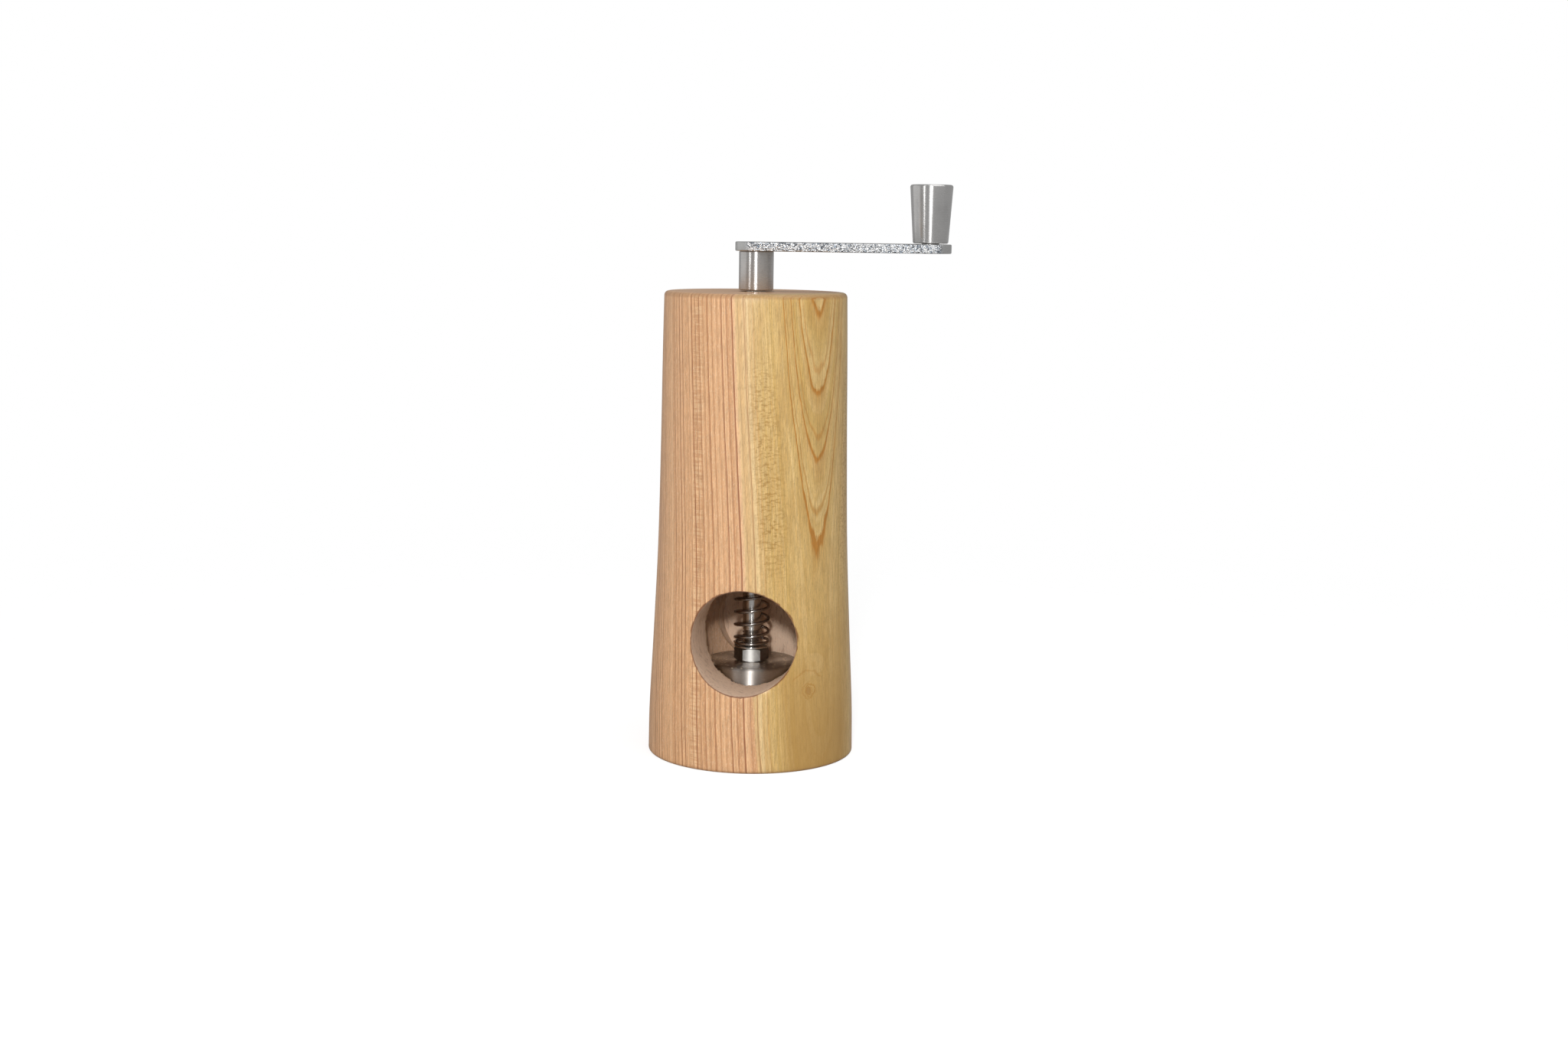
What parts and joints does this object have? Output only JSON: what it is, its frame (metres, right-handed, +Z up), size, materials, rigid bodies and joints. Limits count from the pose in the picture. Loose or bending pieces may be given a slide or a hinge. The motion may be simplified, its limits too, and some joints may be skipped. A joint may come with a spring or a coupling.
{
  "type": "hand-cranked nutmeg mill",
  "caption": "Turned wooden mill with a round filling window in front and a steel crank that turns a spring-loaded presser over a grater plate.",
  "frame": {"origin": "on the surface that the mill stands on, under the middle of the whole mill's box; the mill's upright turning axis stands at X = -11.65 mm, Y = 0", "axes": "+Z up along the mill's turning axis, +X along the crank arm at rest, from the hub towards the knob, and the filling window looks towards -Y, turned 12 degrees towards -X"},
  "size_m": [0.0777, 0.0544, 0.1495],
  "materials": {
    "turned_wood": "turned and sanded, oiled to a satin sheen, two-toned heartwood and sapwood",
    "bush_brass": "machined",
    "grater_steel": "pressed stainless sheet, brushed",
    "polished_steel": "turned stainless, polished",
    "turned_steel": "turned stainless, satin",
    "blasted_steel": "flat bar with a coarse blasted, sparkling edge",
    "plated_steel": "bright zinc plated",
    "spring_steel": "drawn spring wire, bright"
  },
  "bodies": {
    "mill_body": {"wooden_body": "turned_wood", "top_bush": "bush_brass", "grater_plate": "grater_steel", "plate_screw_1": "plated_steel", "plate_screw_2": "plated_steel", "plate_screw_3": "plated_steel", "spring": "spring_steel"},
    "spring_seat": {"spring_washer": "plated_steel"},
    "spindle": {"shaft": "polished_steel", "presser_disc": "polished_steel", "grip_pin_1": "polished_steel", "grip_pin_2": "polished_steel", "grip_pin_3": "polished_steel", "grip_pin_4": "polished_steel", "hex_nut": "plated_steel", "crank_hub": "turned_steel", "crank_arm": "blasted_steel", "crank_screw": "plated_steel", "knob_screw": "plated_steel"},
    "knob": {"knob": "turned_steel"}
  },
  "joints": [
    {"name": "crank_lift", "type": "slide", "parent": "mill_body", "child": "spring_seat", "axis": [0, 0, 1], "range_m": [0, 0.036], "stiffness_N_per_m": 236, "springref_m": -0.015, "deforming": ["spring"]},
    {"name": "crank_turn", "type": "hinge", "parent": "spring_seat", "child": "spindle", "pos_m": [-0.01165, 0, 0.0279], "axis": [0, 0, 1], "continuous": true},
    {"name": "knob_spin", "type": "hinge", "parent": "spindle", "child": "knob", "pos_m": [0.03335, 0, 0.142], "axis": [0, 0, 1], "continuous": true}
  ]
}
